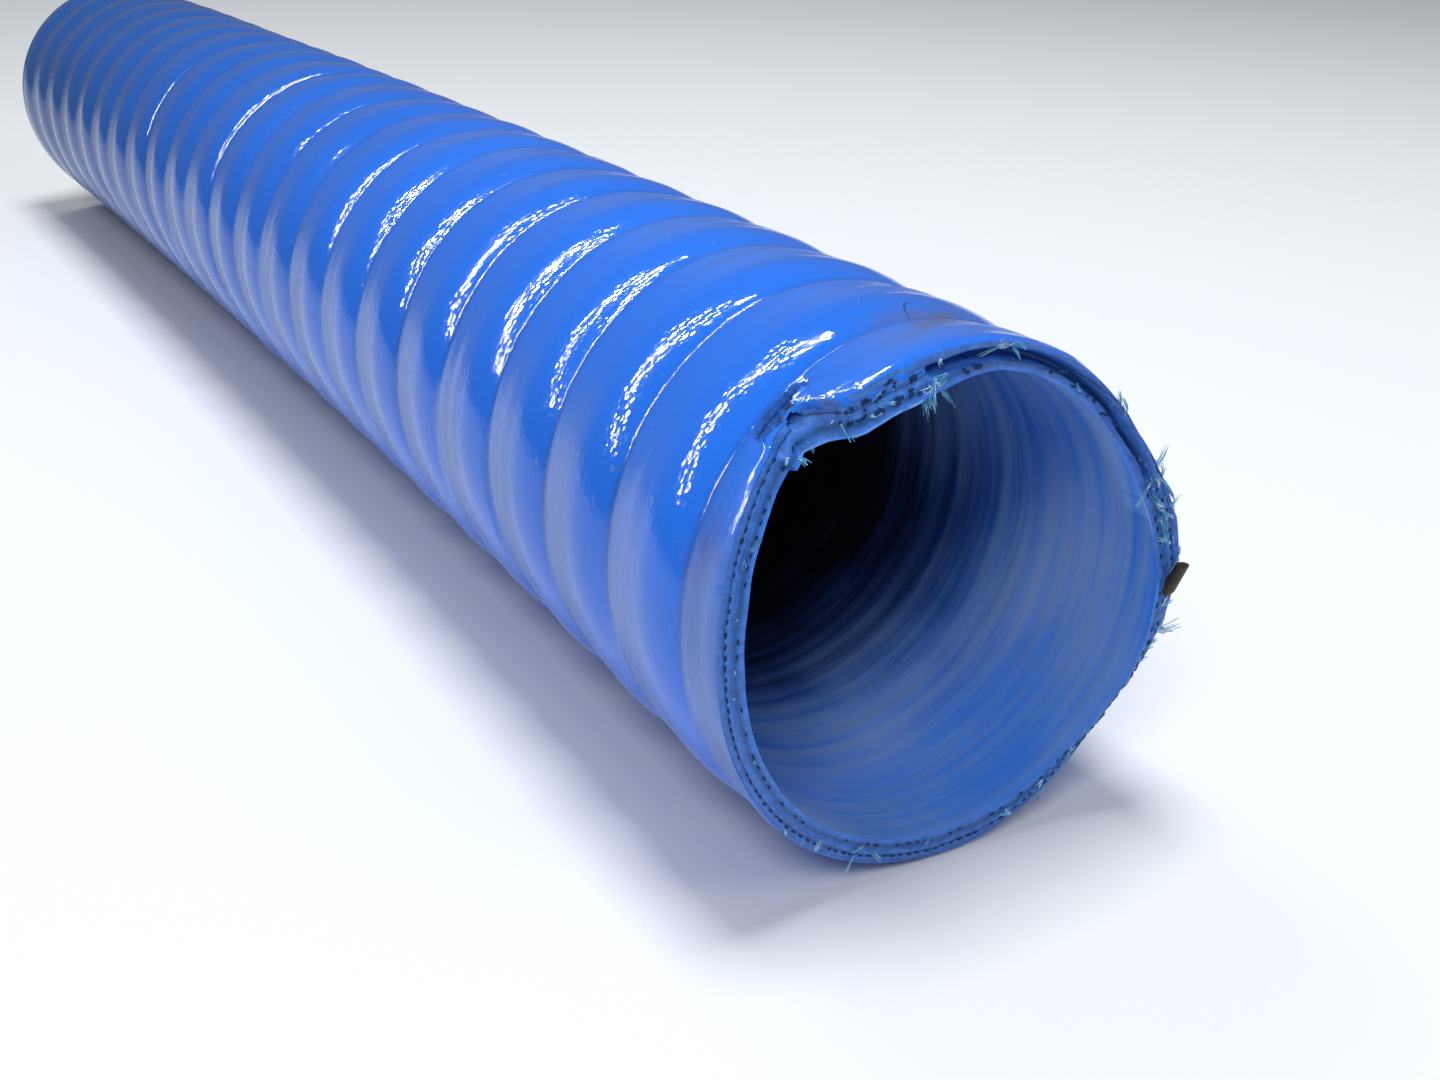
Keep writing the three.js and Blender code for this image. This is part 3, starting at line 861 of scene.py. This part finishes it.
# Floor, light and camera. Lights are placed from the middle of the cut end: in front, to the left, above.
studio = {
    "floorSize": 6.0,
    "floorColour": (0.8, 0.83, 0.86),
    "worldColour": (0.9, 0.93, 1.0),
    "worldStrength": 0.17,
    "lights": [
        # name, place, aimed at, long side, short side, power
        ("overhead", (-0.2, -0.06, 1.2), (-0.2, 0.0, 0.0), 0.4, 0.4, 11.0),
        ("frontRight", (0.8, -0.5, 0.85), (-0.05, 0.0, 0.0), 0.5, 0.5, 2.2),
        ("frontLeft", (0.6, 0.6, 0.85), (-0.05, 0.0, 0.0), 0.4, 0.4, 5.5),
        ("back", (-1.5, 0.1, 1.5), (-1.3, 0.1, 0.0), 0.8, 0.8, 7.0),
    ],
    "stripFrom": (-0.67, -0.32, 0.66),      # the way to the strip that the ribs mirror
    "stripDistance": 1.35,
    "stripLength": 1.9,
    "stripWidth": 0.03,
    "stripPower": 14.0,
}


def makeFloor():
    bm = bmesh.new()
    bmesh.ops.create_grid(bm, x_segments=2, y_segments=2, size=studio["floorSize"])
    lowest = axisHeight - hoseRadius
    bmesh.ops.translate(bm, verts=bm.verts, vec=(0, 0, lowest))
    mesh = bpy.data.meshes.new("floor")
    bm.to_mesh(mesh)
    bm.free()
    material, nodes, links, shader = newMaterial("paperFloor")
    shader.inputs["Base Color"].default_value = (*studio["floorColour"], 1)
    shader.inputs["Roughness"].default_value = 0.9
    shader.inputs["Specular IOR Level"].default_value = 0.1
    mesh.materials.append(material)
    floor = bpy.data.objects.new("floor", mesh)
    bpy.context.scene.collection.objects.link(floor)


def makeWorld():
    world = bpy.data.worlds.new("studio")
    world.use_nodes = True
    background = world.node_tree.nodes["Background"]
    background.inputs["Color"].default_value = (*studio["worldColour"], 1)
    background.inputs["Strength"].default_value = studio["worldStrength"]
    bpy.context.scene.world = world


def addLight(name, place, target, longSide, shortSide, power, longWay=None, onlyShine=False):
    data = bpy.data.lights.new(name, "AREA")
    data.shape = "RECTANGLE"
    data.size, data.size_y = longSide, shortSide
    data.energy = power
    light = bpy.data.objects.new(name, data)
    back = (Vector(place) - Vector(target)).normalized()
    side = Vector(longWay or (1, 0, 0))
    side = (side - back * side.dot(back)).normalized()
    turned = Matrix((side, back.cross(side), back)).transposed()
    light.matrix_world = Matrix.Translation(place) @ turned.to_4x4()
    light.visible_diffuse = not onlyShine
    light.visible_glossy = onlyShine
    bpy.context.scene.collection.objects.link(light)


# The middle of the cut end, and the ways in front of it, to its right and up.
def mouthFrame():
    turn = halfLength / hose["bendRadius"]
    return (hosePoint(halfLength, 0, 0), Vector((math.cos(turn), -math.sin(turn), 0)),
            Vector((math.sin(turn), math.cos(turn), 0)), Vector((0, 0, 1)))


def makeLights():
    mouth, front, right, up = mouthFrame()
    for name, place, aim, longSide, shortSide, power in studio["lights"]:
        spot = [mouth + front * f - right * l + up * u for f, l, u in (place, aim)]
        addLight(name, spot[0], spot[1], longSide, shortSide, power)
    way = Vector(studio["stripFrom"]).normalized()
    middle = Vector((0.1, 0, axisHeight))
    addLight("ribStrip", middle + way * studio["stripDistance"], middle, studio["stripLength"],
             studio["stripWidth"], studio["stripPower"], (0, way.z, -way.y), True)


# Seen from the middle of the cut end: how far the camera stands in front, to the left and above.
cameraPlace = {
    "front": 0.17674, "left": 0.13952, "above": 0.11452,
    "heading": 28.881, "tilt": 24.516, "lens": 41.05,
}


def makeCamera():
    mouth, front, right, up = mouthFrame()
    heading, tilt = math.radians(cameraPlace["heading"]), math.radians(cameraPlace["tilt"])
    look = (-front * math.cos(heading) + right * math.sin(heading)) * math.cos(tilt) - up * math.sin(tilt)
    data = bpy.data.cameras.new("camera")
    data.lens = cameraPlace["lens"]
    data.sensor_width = 36
    data.clip_start = 0.01
    camera = bpy.data.objects.new("camera", data)
    camera.location = (mouth + front * cameraPlace["front"] - right * cameraPlace["left"]
                       + up * cameraPlace["above"])
    camera.rotation_euler = look.to_track_quat("-Z", "Y").to_euler()
    bpy.context.scene.collection.objects.link(camera)
    bpy.context.scene.camera = camera


makeFloor()
makeWorld()
makeLights()
makeCamera()
bpy.context.scene.view_settings.view_transform = "Standard"
print("stage, light and camera made")
